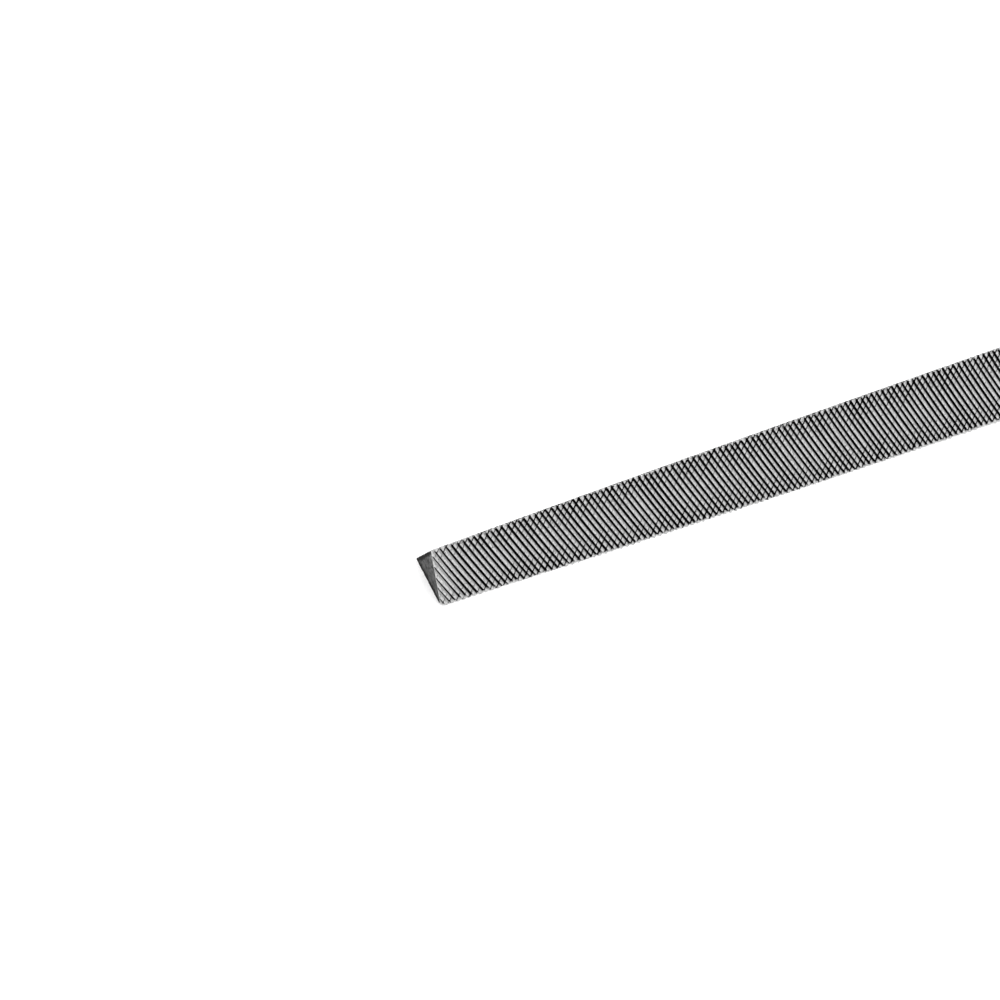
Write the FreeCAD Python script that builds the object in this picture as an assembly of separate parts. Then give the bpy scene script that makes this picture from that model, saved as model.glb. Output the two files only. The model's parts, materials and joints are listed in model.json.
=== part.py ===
"""Three-square (triangular) bastard file, 150 mm, on a turned wooden handle.

Three pieces, each a solid of its own:
  file_blade  one forging of tool steel: toothed three-square body, plain heel, shoulder and tang
  ferrule     drawn steel cap that stops the wood splitting, locked by pressed dents
  handle      turned beech, with a nose for the ferrule and a stepped bore for the tang

Frame: millimetres, +X along the axis towards the point, +Z up. The blade lies with one face
down and one edge up. The origin is on the axis, where the ferrule butts on the handle's shoulder.
"""

import math
import os

import FreeCAD
import Part

# Blade. Its nominal length runs from the heel, where the tang begins, to the point.
BLADE_LENGTH = 150.0
SIDE = 11.0                 # width of each face where the body is parallel
POINT_SIDE = 8.3            # width of each face at the point
TAPER_LENGTH = 100.0        # the faces curve in over this length
PLAIN_HEEL = 12.0           # length next to the tang that has no teeth
HEEL_TO_FERRULE = 9.0       # bare tang between the ferrule and the heel
SHOULDER_LENGTH = 7.0       # the edges slope down to the tang over this length
SHOULDER_STEP = 0.15        # how far the end of that slope stands out round the tang's corners

# Up-cut teeth: rows across each face, with the steep side of each tooth towards the point.
TOOTH_PITCH = 0.80          # along the axis
TOOTH_DEPTH = 0.26
TOOTH_FRONT_SHARE = 0.16    # part of the pitch that the steep side takes
ROW_ANGLE = 64.0            # degrees between a row and the axis; its right-hand end is nearer the point

# Tang: a square-cut spike that the handle is driven onto.
TANG_LENGTH = 48.0          # from the heel
TANG_ROOT_WIDTH = 6.2
TANG_ROOT_THICKNESS = 4.6
TANG_END_WIDTH = 2.4
TANG_END_THICKNESS = 2.0
TANG_OVERLAP = 3.0          # how far the tang's forging runs into the body

# Ferrule.
FERRULE_DIAMETER = 17.0
FERRULE_LENGTH = 18.0
FERRULE_WALL = 0.8
FERRULE_LIP_RADIUS = 1.4    # outside rounding of its closed front
TANG_CLEARANCE = 0.5        # between the tang's corners and the ferrule's hole
DENT_COUNT = 3
DENT_RADIUS = 2.6           # of the punch
DENT_DEPTH = 0.55
DENT_PLACE = 4.5            # from the ferrule's open end

# Handle.
HANDLE_LENGTH = 100.0       # from the shoulder to the butt
NECK_STEP = 0.8             # how far the neck stands out round the ferrule
NECK_LENGTH = 11.0
NECK_ROUNDING = 0.8
BELLY_DIAMETER = 27.0
BUTT_LENGTH = 34.0          # from the fullest section to the butt
BUTT_CURVE_RADIUS = 130.0   # of the swell between the belly and the domed butt
NOSE_GAP = 0.6              # between the nose and the inside of the ferrule's front
BORE_STEPS = 3              # drills used for the tang, each narrower and deeper
BORE_BOTTOM_GAP = 5.0       # past the tang's end
RING_COUNT = 2              # rings scribed round the neck
RING_SPACING = 2.4
RING_MARGIN = 2.6           # from the last ring to the neck's end
RING_HALF_WIDTH = 0.9
RING_DEPTH = 0.45

# Sizes that follow from those above.
X = FreeCAD.Vector(1, 0, 0)
ORIGIN = FreeCAD.Vector(0, 0, 0)
FACE_ANGLES = (60.0, 180.0, 300.0)  # turns a face from the top round to its place
HEEL_X = FERRULE_LENGTH + HEEL_TO_FERRULE
POINT_X = HEEL_X + BLADE_LENGTH
TEETH_START_X = HEEL_X + PLAIN_HEEL
IN_RADIUS = SIDE / (2 * math.sqrt(3))    # from the axis to a face
OUT_RADIUS = SIDE / math.sqrt(3)         # from the axis to an edge
TANG_END_X = HEEL_X - TANG_LENGTH
NOSE_X = FERRULE_LENGTH - FERRULE_WALL - NOSE_GAP
NOSE_RADIUS = FERRULE_DIAMETER / 2 - FERRULE_WALL
NECK_RADIUS = FERRULE_DIAMETER / 2 + NECK_STEP
BELLY_X = BUTT_LENGTH - HANDLE_LENGTH
MARGIN = SIDE                            # how far cutting solids run past the blade


def point(x, y, z):
    return FreeCAD.Vector(x, y, z)


def face_height(x):
    """Distance from the axis to a face at x: level along the body, then an arc towards the point."""
    sag = IN_RADIUS - POINT_SIDE / (2 * math.sqrt(3))
    radius = (TAPER_LENGTH ** 2 + sag ** 2) / (2 * sag)
    along = max(0.0, x - (POINT_X - TAPER_LENGTH))
    return IN_RADIUS - (radius - math.sqrt(radius ** 2 - along ** 2))


def row_vector():
    """Along a row of the upper face, from its middle to past its edge."""
    return point(-MARGIN / math.tan(math.radians(ROW_ANGLE)), MARGIN, 0)


def tooth_line():
    """The toothed profile of one face in the XZ plane, from the plain heel to past the point."""
    reach = abs(row_vector().x)
    count = math.ceil((POINT_X + reach - TEETH_START_X) / TOOTH_PITCH)
    line = []
    for tooth in range(count):
        start = TEETH_START_X + tooth * TOOTH_PITCH
        root = start + TOOTH_FRONT_SHARE * TOOTH_PITCH
        crest = start + TOOTH_PITCH
        line.append(point(root, 0, face_height(root) - TOOTH_DEPTH))
        line.append(point(crest, 0, face_height(crest)))
    return line


def toothed_half_space(turn):
    """Everything on the inner side of one toothed face, as a sheared prism along its rows."""
    line = tooth_line()
    back_x = HEEL_X - MARGIN
    outline = [point(back_x, 0, IN_RADIUS), point(TEETH_START_X, 0, IN_RADIUS)]
    outline += line
    outline += [point(line[-1].x, 0, -MARGIN), point(back_x, 0, -MARGIN), outline[0]]
    section = Part.Face(Part.makePolygon(outline))
    section.translate(row_vector() * -1)
    solid = section.extrude(row_vector() * 2)
    solid.rotate(ORIGIN, X, turn)
    return solid


def plain_bar(start_x, end_x):
    """The untoothed triangular bar that the blade is forged from, with one edge up."""
    corners = []
    for angle in (90, 210, 330, 450):
        turn = math.radians(angle)
        corners.append(point(start_x, OUT_RADIUS * math.cos(turn), OUT_RADIUS * math.sin(turn)))
    return Part.Face(Part.makePolygon(corners)).extrude(X * (end_x - start_x))


def shoulder_cone():
    """Trims the body's edges down towards the tang, and its point square."""
    slope_end = HEEL_X + SHOULDER_LENGTH
    wide = OUT_RADIUS + 1.0
    outline = [
        point(HEEL_X, 0, 0),
        point(HEEL_X, 0, tang_corner_radius(HEEL_X) + SHOULDER_STEP),
        point(slope_end, 0, wide),
        point(POINT_X, 0, wide),
        point(POINT_X, 0, 0),
        point(HEEL_X, 0, 0),
    ]
    return Part.Face(Part.makePolygon(outline)).revolve(ORIGIN, X, 360)


def tang_section(x):
    y, z = tang_width(x) / 2, tang_thickness(x) / 2
    corners = [point(x, y, z), point(x, -y, z), point(x, -y, -z), point(x, y, -z), point(x, y, z)]
    return Part.makePolygon(corners)


def tang_width(x):
    share = (HEEL_X - x) / TANG_LENGTH
    return TANG_ROOT_WIDTH + share * (TANG_END_WIDTH - TANG_ROOT_WIDTH)


def tang_thickness(x):
    share = (HEEL_X - x) / TANG_LENGTH
    return TANG_ROOT_THICKNESS + share * (TANG_END_THICKNESS - TANG_ROOT_THICKNESS)


def tang_corner_radius(x):
    return math.hypot(tang_width(x), tang_thickness(x)) / 2


def tang():
    """A tapering spike whose upper corners keep the slope of the bar it is drawn from."""
    root_x = HEEL_X + TANG_OVERLAP
    spike = Part.makeLoft([tang_section(TANG_END_X), tang_section(root_x)], True, True)
    return spike.common(plain_bar(TANG_END_X - MARGIN, root_x + MARGIN))


def file_blade():
    body = toothed_half_space(FACE_ANGLES[0])
    for turn in FACE_ANGLES[1:]:
        body = body.common(toothed_half_space(turn))
    body = body.common(shoulder_cone())
    return body.fuse(tang()).removeSplitter()


def revolved(outline):
    """A solid of revolution about the axis, from edges or a closed list of points."""
    wire = Part.Wire(outline) if isinstance(outline[0], Part.Edge) else Part.makePolygon(outline)
    return Part.Face(wire).revolve(ORIGIN, X, 360)


def cylinder(start_x, end_x, radius):
    return Part.makeCylinder(radius, end_x - start_x, point(start_x, 0, 0), X)


def dents(extra):
    """The punch's balls, sunk into the ferrule's wall; extra thickens them by the wall."""
    radius = DENT_RADIUS + extra
    centre_height = FERRULE_DIAMETER / 2 - DENT_DEPTH + DENT_RADIUS
    balls = []
    for dent in range(DENT_COUNT):
        turn = 360.0 * dent / DENT_COUNT
        ball = Part.makeSphere(radius, point(DENT_PLACE, 0, centre_height))
        ball.rotate(ORIGIN, X, turn)
        balls.append(ball)
    return balls[0].multiFuse(balls[1:])


def ferrule_cap():
    """The drawn cap before it is dented: a tube with a closed front and a rounded lip."""
    outer = FERRULE_DIAMETER / 2
    body = cylinder(0, FERRULE_LENGTH, outer)
    front_edges = [e for e in body.Edges if abs(e.CenterOfMass.x - FERRULE_LENGTH) < 1e-6]
    body = body.makeFillet(FERRULE_LIP_RADIUS, front_edges)
    room = cylinder(-MARGIN, FERRULE_LENGTH - FERRULE_WALL, NOSE_RADIUS)
    hole_radius = tang_corner_radius(FERRULE_LENGTH) + TANG_CLEARANCE
    hole = cylinder(0, FERRULE_LENGTH + MARGIN, hole_radius)
    return body.cut(room).cut(hole)


def dent_bumps():
    """What the dents push inward past the ferrule's inner wall, into the wood."""
    inside = cylinder(0, FERRULE_LENGTH - FERRULE_WALL, NOSE_RADIUS)
    return dents(FERRULE_WALL).common(inside)


def ferrule():
    return ferrule_cap().fuse(dent_bumps()).cut(dents(0.0)).removeSplitter()


def arc(start, middle, end):
    return Part.Arc(start, middle, end).toShape()


def swell(start_x, start_r, end_x, end_r):
    """An S of two equal arcs that leaves both of its ends level."""
    length, rise = end_x - start_x, end_r - start_r
    radius = (length ** 2 + rise ** 2) / (4 * abs(rise))
    half_turn = math.asin(abs(length) / 2 / radius) / 2
    step = math.copysign(radius * math.sin(half_turn), length)
    lift = math.copysign(radius * (1 - math.cos(half_turn)), rise)
    first = point(start_x + step, 0, start_r + lift)
    middle = point(start_x + length / 2, 0, start_r + rise / 2)
    second = point(end_x - step, 0, end_r - lift)
    start, end = point(start_x, 0, start_r), point(end_x, 0, end_r)
    return [arc(start, first, middle), arc(middle, second, end)]


def butt():
    """The arc that falls from the belly, and the dome that meets it and closes the butt."""
    belly, big = BELLY_DIAMETER / 2, BUTT_CURVE_RADIUS
    dome = (big ** 2 - (big - belly) ** 2 - BUTT_LENGTH ** 2) / (2 * (big - BUTT_LENGTH))
    dome_x = -HANDLE_LENGTH + dome
    slope = math.atan2(BELLY_X - dome_x, big - belly)
    centre = point(BELLY_X, 0, belly - big)
    meet = centre + point(-math.sin(slope), 0, math.cos(slope)) * big
    halfway = centre + point(-math.sin(slope / 2), 0, math.cos(slope / 2)) * big
    turn = math.radians(45) + slope / 2
    corner = point(dome_x - dome * math.sin(turn), 0, dome * math.cos(turn))
    top, end = point(BELLY_X, 0, belly), point(-HANDLE_LENGTH, 0, 0)
    return [arc(top, halfway, meet), arc(meet, corner, end)]


def scribed_ring(x):
    """A V groove cut round the neck by the turner's skew."""
    outline = [
        point(x - RING_HALF_WIDTH, 0, NECK_RADIUS + RING_DEPTH),
        point(x, 0, NECK_RADIUS - RING_DEPTH),
        point(x + RING_HALF_WIDTH, 0, NECK_RADIUS + RING_DEPTH),
        point(x - RING_HALF_WIDTH, 0, NECK_RADIUS + RING_DEPTH),
    ]
    return revolved(outline)


def turned_blank():
    """The handle as it leaves the lathe, with its nose but no bore."""
    round_x, round_r = -NECK_ROUNDING, NECK_RADIUS - NECK_ROUNDING
    diagonal = NECK_ROUNDING * math.sqrt(0.5)
    corner = point(round_x + diagonal, 0, round_r + diagonal)
    edges = [
        Part.makeLine(point(NOSE_X, 0, 0), point(NOSE_X, 0, NOSE_RADIUS)),
        Part.makeLine(point(NOSE_X, 0, NOSE_RADIUS), point(0, 0, NOSE_RADIUS)),
        Part.makeLine(point(0, 0, NOSE_RADIUS), point(0, 0, round_r)),
        arc(point(0, 0, round_r), corner, point(round_x, 0, NECK_RADIUS)),
        Part.makeLine(point(round_x, 0, NECK_RADIUS), point(-NECK_LENGTH, 0, NECK_RADIUS)),
    ]
    edges += swell(-NECK_LENGTH, NECK_RADIUS, BELLY_X, BELLY_DIAMETER / 2)
    edges += butt()
    edges.append(Part.makeLine(point(-HANDLE_LENGTH, 0, 0), point(NOSE_X, 0, 0)))
    return revolved(edges)


def stepped_bore():
    """The pilot bore: each drill is as wide as the tang's corners halfway along its step."""
    step = (NOSE_X - TANG_END_X) / BORE_STEPS
    drills = []
    for drill in range(BORE_STEPS):
        end_x = NOSE_X - (drill + 1) * step
        radius = tang_corner_radius(end_x + step / 2)
        if drill == BORE_STEPS - 1:
            end_x -= BORE_BOTTOM_GAP
        drills.append(cylinder(end_x, NOSE_X + MARGIN, radius))
    return drills[0].multiFuse(drills[1:])


def handle():
    body = turned_blank()
    for ring in range(RING_COUNT):
        body = body.cut(scribed_ring(RING_MARGIN - NECK_LENGTH + ring * RING_SPACING))
    body = body.cut(stepped_bore())
    body = body.cut(tang())
    return body.cut(dent_bumps()).removeSplitter()


def main():
    os.makedirs("parts", exist_ok=True)
    for make in (file_blade, ferrule, handle):
        shape = make()
        solids = shape.Solids
        assert shape.isValid() and len(solids) == 1, make.__name__
        solids[0].exportStep(f"parts/{make.__name__}.step")
        print(f"{make.__name__}: {solids[0].Volume:.1f} mm3, {len(solids[0].Faces)} faces")


main()
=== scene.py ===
# %% [markdown]
# # A three-square file with a beech handle
# A three-square file is a triangular bar of hard steel with teeth chiselled into all three faces. A spike
# forged at its back end, the tang, is driven into a turned wooden handle, and a steel cap, the ferrule,
# stops the wood from splitting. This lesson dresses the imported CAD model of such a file: the teeth are
# cut again in Geometry Nodes, crossing rows and all, and the ferrule and the handle are turned from
# profiles. Everything is in metres, in the frame of the CAD model: +X towards the point, +Z up.

# %% load the frame
import json
import math

import bmesh
import bpy
import numpy as np
from mathutils import Matrix, Vector

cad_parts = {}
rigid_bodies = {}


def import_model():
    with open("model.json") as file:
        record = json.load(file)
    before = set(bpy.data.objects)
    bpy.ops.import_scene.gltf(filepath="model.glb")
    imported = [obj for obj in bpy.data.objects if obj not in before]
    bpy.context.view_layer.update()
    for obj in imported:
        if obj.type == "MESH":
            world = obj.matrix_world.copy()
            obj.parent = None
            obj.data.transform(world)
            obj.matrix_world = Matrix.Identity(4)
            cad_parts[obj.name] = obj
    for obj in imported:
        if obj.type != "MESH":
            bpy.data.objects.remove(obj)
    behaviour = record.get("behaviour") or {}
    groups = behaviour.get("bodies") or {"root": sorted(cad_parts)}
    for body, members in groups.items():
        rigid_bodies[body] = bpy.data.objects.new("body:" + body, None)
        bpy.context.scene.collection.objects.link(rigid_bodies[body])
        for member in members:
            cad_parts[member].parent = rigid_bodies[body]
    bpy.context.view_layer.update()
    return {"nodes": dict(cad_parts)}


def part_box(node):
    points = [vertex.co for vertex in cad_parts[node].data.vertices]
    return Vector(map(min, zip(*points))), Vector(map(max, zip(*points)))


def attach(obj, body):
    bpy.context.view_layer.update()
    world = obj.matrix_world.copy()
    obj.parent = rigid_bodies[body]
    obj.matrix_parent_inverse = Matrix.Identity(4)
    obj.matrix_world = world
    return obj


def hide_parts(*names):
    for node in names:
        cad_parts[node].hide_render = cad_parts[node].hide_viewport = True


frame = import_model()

print("CAD nodes:", len(frame["nodes"]))

# %% [markdown]
# ## The sizes everything else follows
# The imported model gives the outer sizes, so they are read and not typed again: the point's place, the
# section of the blade, the ferrule and the handle. What a box can't tell, such as where the teeth begin,
# is named here once.

# %% sizes
MM = 0.001
blade_low, blade_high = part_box("file_blade")
_, ferrule_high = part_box("ferrule")
handle_low, handle_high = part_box("handle")

POINT_X = blade_high.x
EDGE_RADIUS = blade_high.z               # from the axis to an edge of the parallel body
FACE_RADIUS = EDGE_RADIUS / 2            # from the axis to a face
POINT_FACE_RADIUS = 8.3 * MM / (2 * math.sqrt(3))
TAPER_LENGTH = 100 * MM
HEEL_X = 27 * MM
TEETH_START_X = HEEL_X + 12 * MM
SHOULDER_END_X = HEEL_X + 7 * MM
SHOULDER_RADIUS = 4.0 * MM

TAPER_SAG = FACE_RADIUS - POINT_FACE_RADIUS
TAPER_ARC = (TAPER_LENGTH ** 2 + TAPER_SAG ** 2) / (2 * TAPER_SAG)
print(f"point at {POINT_X / MM:.1f} mm, faces {EDGE_RADIUS * math.sqrt(3) / MM:.2f} mm wide")

# %% [markdown]
# ## The camera
# The file lies with its point towards the camera's left, seen from above its left face. A long lens a
# good way off keeps the rows of teeth nearly parallel. The place is worked out from the point of the
# blade: the spot the lens is aimed at, the direction it is seen from, and a small roll.

# %% camera
AIM = Vector((POINT_X - 13.5 * MM, -6.9 * MM, 0.0))
CAMERA_AZIMUTH = math.radians(149.7)
CAMERA_ELEVATION = math.radians(53.05)
CAMERA_ROLL = math.radians(6.1)
CAMERA_DISTANCE = 393.8 * MM


def camera_turn(azimuth, elevation, roll):
    """The rotation of a camera that looks along that azimuth, down at that elevation."""
    level = Matrix.Rotation(azimuth, 3, "Z") @ Matrix.Rotation(math.pi / 2 - elevation, 3, "X")
    return level @ Matrix.Rotation(roll, 3, "Z")


lens = bpy.data.cameras.new("bench_camera")
lens.sensor_width = 36.0
lens.lens = 108.0
lens.clip_start = 0.01
camera = bpy.data.objects.new("bench_camera", lens)
bpy.context.scene.collection.objects.link(camera)
turn = camera_turn(CAMERA_AZIMUTH, CAMERA_ELEVATION, CAMERA_ROLL)
away = turn @ Vector((0, 0, CAMERA_DISTANCE))
camera.matrix_world = Matrix.Translation(AIM + away) @ turn.to_4x4()
bpy.context.scene.camera = camera
print("camera at", [round(c, 4) for c in AIM + away])

# %% [markdown]
# ## Small helpers for node trees
# Geometry and shader trees are both built here by script, and a few helpers keep that readable. put sets
# a socket or links to it, and node adds a node with its settings. Value wraps an output, so that a formula
# reads as it would on paper: each +, -, *, /, < or > in it adds one Math node, and calc adds the others.

# %% node helpers
class Value:
    """An output of a node that can be used in a formula."""

    def __init__(self, socket):
        self.socket = socket
        self.tree = socket.id_data

    def __add__(self, other):
        return calc("ADD", self, other)

    def __sub__(self, other):
        return calc("SUBTRACT", self, other)

    def __rsub__(self, other):
        return calc("SUBTRACT", other, self)

    def __mul__(self, other):
        return calc("MULTIPLY", self, other)

    def __truediv__(self, other):
        return calc("DIVIDE", self, other)

    def __gt__(self, other):
        return calc("GREATER_THAN", self, other)

    def __lt__(self, other):
        return calc("LESS_THAN", self, other)


def put(socket, value):
    """Links an output to a socket, or sets the socket to a plain value."""
    if isinstance(value, Value):
        value = value.socket
    if isinstance(value, bpy.types.NodeSocket):
        socket.id_data.links.new(value, socket)
    else:
        socket.default_value = value


def node(tree, kind, values=None, **settings):
    """Adds a node, with its settings first and then its inputs by name or number."""
    new = tree.nodes.new(kind)
    for name, value in settings.items():
        setattr(new, name, value)
    for name, value in (values or {}).items():
        put(new.inputs[name], value)
    return new


def calc(operation, *values):
    """A Math node, in the tree of the first Value among its inputs."""
    tree = next(value.tree for value in values if isinstance(value, Value))
    return Value(node(tree, "ShaderNodeMath", dict(enumerate(values)), operation=operation).outputs[0])


def ramp(value, start, end, low=0.0, high=1.0):
    """A smooth step from low, where value is at start, to high, where it is at end."""
    limits = {"From Min": start, "From Max": end, "To Min": low, "To Max": high}
    step = node(value.tree, "ShaderNodeMapRange", {"Value": value, **limits},
                interpolation_type="SMOOTHSTEP")
    return Value(step.outputs[0])


def mix_value(factor, first, second):
    mix = node(factor.tree, "ShaderNodeMix", {"Factor": factor, "A": first, "B": second},
               data_type="FLOAT")
    return Value(mix.outputs[0])


def split(place):
    """The X, Y and Z of a place."""
    return [Value(part) for part in node(place.tree, "ShaderNodeSeparateXYZ", {0: place}).outputs]


def add_input(tree, name, kind, default=None):
    socket = tree.interface.new_socket(name, in_out="INPUT", socket_type=f"NodeSocket{kind}")
    if default is not None:
        socket.default_value = default


def add_output(tree, name, kind):
    tree.interface.new_socket(name, in_out="OUTPUT", socket_type=f"NodeSocket{kind}")


def group_inputs(tree):
    """The group's own inputs, by name, for use inside it."""
    return {socket.name: Value(socket) for socket in tree.nodes.new("NodeGroupInput").outputs}


print("node helpers are ready")

# %% [markdown]
# ## Teeth, as two families of crossing cuts
# A file's face is chiselled twice. The first rows, the over-cut, lean one way. The second, the up-cut,
# lean the other way, go deeper and leave the cutting edges. Their crossings break each ridge into
# separate teeth. Drawing them as a bump would leave the outline straight, and a plain fine grid would
# make stair steps of slanting rows. So the grid itself is slanted: one side of each of its cells follows
# the up-cut and the other the over-cut. Each up-cut row has four lines of points (edge, root, gullet and
# back) and each over-cut three, so few points draw clean teeth.
#
# The tree works in steps: a flat grid whose X and Y count rows, a formula that lays the rows on the face,
# a second one that sinks the grooves, and an extrusion downwards that closes the sheet into a thick slab.

# %% tooth sizes and the first nodes
ROW_PITCH = 0.80 * MM
OVER_PITCH = 0.98 * MM
ROW_ANGLE = math.radians(63.3)
OVER_ANGLE = math.radians(53.0)
FIRST_X = 20 * MM                        # where the count of rows starts, behind the heel
ROW_COUNT = 204
OVER_COUNT = 170
UNEVENNESS = 0.10                        # share of the pitch

ROW_PLACES = (0.0, 0.15, 0.40, 0.72)     # along the pitch: edge, root, gullet, back
ROW_DEPTHS = (0.0, 1.0, 0.55, 0.14)      # share of the depth at those places
OVER_PLACES = (0.0, 0.20, 0.80)          # root of the over-cut and the land's two sides
OVER_DEPTHS = (1.0, 0.0, 0.0)

teeth = bpy.data.node_groups.new("cut_three_faces", "GeometryNodeTree")
add_input(teeth, "Geometry", "Geometry")
for socket_name, socket_default in (
    ("Row Pitch", ROW_PITCH),
    ("Row Depth", 0.26 * MM),
    ("Row Bow", 4.2),
    ("Over-cut Pitch", OVER_PITCH),
    ("Over-cut Depth", 0.065 * MM),
    ("Over-cut Depth at Edge", 0.26 * MM),
    ("Unevenness", UNEVENNESS),
):
    add_input(teeth, socket_name, "Float", socket_default)
add_input(teeth, "Seed", "Int", 7)
add_input(teeth, "Trim", "Object")
add_input(teeth, "Tang", "Object")
add_input(teeth, "Material", "Material")
add_output(teeth, "Geometry", "Geometry")
given = group_inputs(teeth)
position = Value(teeth.nodes.new("GeometryNodeInputPosition").outputs[0])
print("tooth tree inputs:", [name for name in given if name])


# %% [markdown]
# Each point of the grid knows its row as a number with a fraction. The whole part says which tooth it
# belongs to, and the fraction says which of the four (or three) lines it is. An Index Switch then looks
# up the line's place and depth, which is how an uneven, saw-like profile comes from an even grid.

# %% count rows on the grid
def split_count(value, lines):
    """The whole row that value is on, and which of its lines, from 0."""
    nudged = value + 0.5 / lines
    whole = calc("FLOOR", nudged)
    return whole, calc("FLOOR", (nudged - whole) * float(lines))


def look_up(index, numbers):
    """The number that index picks from a short list."""
    switch = node(teeth, "GeometryNodeIndexSwitch", data_type="FLOAT")
    while len(switch.index_switch_items) < len(numbers):
        switch.index_switch_items.new()
    put(switch.inputs["Index"], index)
    for place, number in enumerate(numbers):
        put(switch.inputs[place + 1], number)
    return Value(switch.outputs[0])


grid = node(teeth, "GeometryNodeMeshGrid", {
    "Size X": float(ROW_COUNT),
    "Size Y": float(OVER_COUNT),
    "Vertices X": ROW_COUNT * len(ROW_PLACES) + 1,
    "Vertices Y": OVER_COUNT * len(OVER_PLACES) + 1,
})
grid_x, grid_y, _ = split(position)
row_value = grid_x + ROW_COUNT / 2
row, row_line = split_count(row_value, len(ROW_PLACES))
over, over_line = split_count(grid_y + OVER_COUNT / 2, len(OVER_PLACES))
row_place = look_up(row_line, ROW_PLACES)
row_share = look_up(row_line, ROW_DEPTHS)
over_place = look_up(over_line, OVER_PLACES)
over_share = look_up(over_line, OVER_DEPTHS)
print("lines per row:", len(ROW_PLACES), "and per over-cut:", len(OVER_PLACES))


# %% [markdown]
# Hand- and machine-cut files are never quite even: a blow lands a little early or late, or bites less.
# A random number for each whole row shifts and deepens it. Because the row is the random number's ID, all
# points of one row move together, so the row stays a clean line.

# %% uneven rows
def by_row(row_number, seed_step, least, most):
    """A random number that is the same all along one row, scaled by the unevenness."""
    chance = node(teeth, "FunctionNodeRandomValue",
                  {"ID": row_number, "Seed": given["Seed"] + float(seed_step)}, data_type="FLOAT")
    put(chance.inputs[2], least)
    put(chance.inputs[3], most)
    return Value(chance.outputs[1]) * given["Unevenness"]


ROW_SHIFT = 0.5
row_shift = by_row(row, 0, -ROW_SHIFT, ROW_SHIFT)
over_shift = by_row(over, 1, -1.0, 1.0)
row_bite = 1.0 - by_row(row, 2, 0.0, 1.5)
over_bite = 1.0 - by_row(over, 3, 0.0, 4.0)
along_rows = (row + row_place + row_shift) * given["Row Pitch"]
along_overs = (over + over_place + over_shift) * given["Over-cut Pitch"]
print("rows are shifted by up to", round(ROW_SHIFT * UNEVENNESS * ROW_PITCH / MM, 3), "mm")

# %% [markdown]
# Two slanted counts give one place on the face: where up-cut line u and over-cut line v cross. Solving
# the two line equations gives the distance across the face first, then the place along the axis. The bow
# term bends the rows a little, as a chisel's curved edge does. The height of the face itself is level up
# to the taper and then an arc, and the grooves are sunk from there: whichever cut is deeper wins.

# %% lay the rows on the face and sink the grooves
ROW_LEAN = 1 / math.tan(ROW_ANGLE)
OVER_LEAN = 1 / math.tan(OVER_ANGLE)
EDGE_STRETCH = 2.0                       # how soon the over-cut gets deeper towards the edges
EDGE_FADE = 0.25 * MM                    # the cuts run out over this width beside an edge
EDGE_SHARE = 0.50                        # and have this share of their depth left there
POINT_FADE = 4.5 * MM                    # the rows bite less over this length at the point
OVER_FADE = (1 * MM, 12 * MM)            # and the over-cuts between these two distances from it
POINT_SHARE = 0.55                       # and both have this share left there

across = (along_rows - along_overs) / (ROW_LEAN + OVER_LEAN)
bow = across * across * given["Row Bow"]
along = along_rows + FIRST_X - (across * ROW_LEAN + bow)

into_taper = calc("MAXIMUM", along - (POINT_X - TAPER_LENGTH), 0.0)
arc_height = calc("SQRT", TAPER_ARC ** 2 - into_taper * into_taper)
face_height = arc_height + (FACE_RADIUS - TAPER_ARC)

half_width = face_height * math.sqrt(3)
from_middle = calc("ABSOLUTE", across)
edge_share = calc("MINIMUM", calc("POWER", from_middle / half_width, EDGE_STRETCH), 1.0)
over_depth = mix_value(edge_share, given["Over-cut Depth"], given["Over-cut Depth at Edge"])
over_depth = over_depth * over_share * over_bite
over_depth = over_depth * ramp(along, POINT_X - OVER_FADE[0], POINT_X - OVER_FADE[1], POINT_SHARE, 1.0)
row_depth = given["Row Depth"] * row_share * row_bite
row_depth = row_depth * ramp(along, POINT_X, POINT_X - POINT_FADE, POINT_SHARE, 1.0)
is_cut = along_rows > TEETH_START_X - FIRST_X
deepest = calc("MAXIMUM", row_depth, over_depth) * is_cut
run_out = ramp(half_width - from_middle, 0.0, EDGE_FADE, EDGE_SHARE, 1.0)
place = node(teeth, "ShaderNodeCombineXYZ", {0: along, 1: across, 2: face_height - deepest * run_out})
print("degrees to the axis:", [round(math.degrees(angle), 1) for angle in (ROW_ANGLE, OVER_ANGLE)])


# %% [markdown]
# The finish needs to know what is a tooth's front and how deep a spot is, because dark scale and oil sit
# there, and painted shade is put there too. Three values are stored before the points move: "front" on
# the cells between a tooth's edge and its root, "depth" on the points, where 1 is a full-depth root, and
# "scored" for the over-cut's depth.

# %% store what the finish needs, then move the points
def store(before, name, value, domain):
    """Stores a value on the mesh, under a name that a material can read."""
    return node(teeth, "GeometryNodeStoreNamedAttribute",
                {"Geometry": before.outputs[0], "Name": name, "Value": value},
                data_type="FLOAT", domain=domain)


is_front = (calc("FRACT", row_value) < 1 / len(ROW_PLACES)) * is_cut
with_front = store(grid, "front", is_front, "FACE")
with_depth = store(with_front, "depth", deepest / given["Row Depth"], "POINT")
with_score = store(with_depth, "scored", over_depth / given["Over-cut Depth at Edge"] * is_cut, "POINT")
laid = node(teeth, "GeometryNodeSetPosition",
            {"Geometry": with_score.outputs[0], "Position": place.outputs[0]})
print("stored:", [stored.inputs["Name"].default_value for stored in (with_front, with_depth, with_score)])

# %% [markdown]
# The slanted grid is far wider than a face, so the cells that miss it are deleted. The sheet is then
# pushed straight down to make a slab. The Extrude node leaves its start open, so the untouched sheet is
# joined on as the lid and the seam is merged. The formula above mirrors the grid, so its faces look down:
# right for the slab's underside, and the lid has to be flipped.

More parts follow.
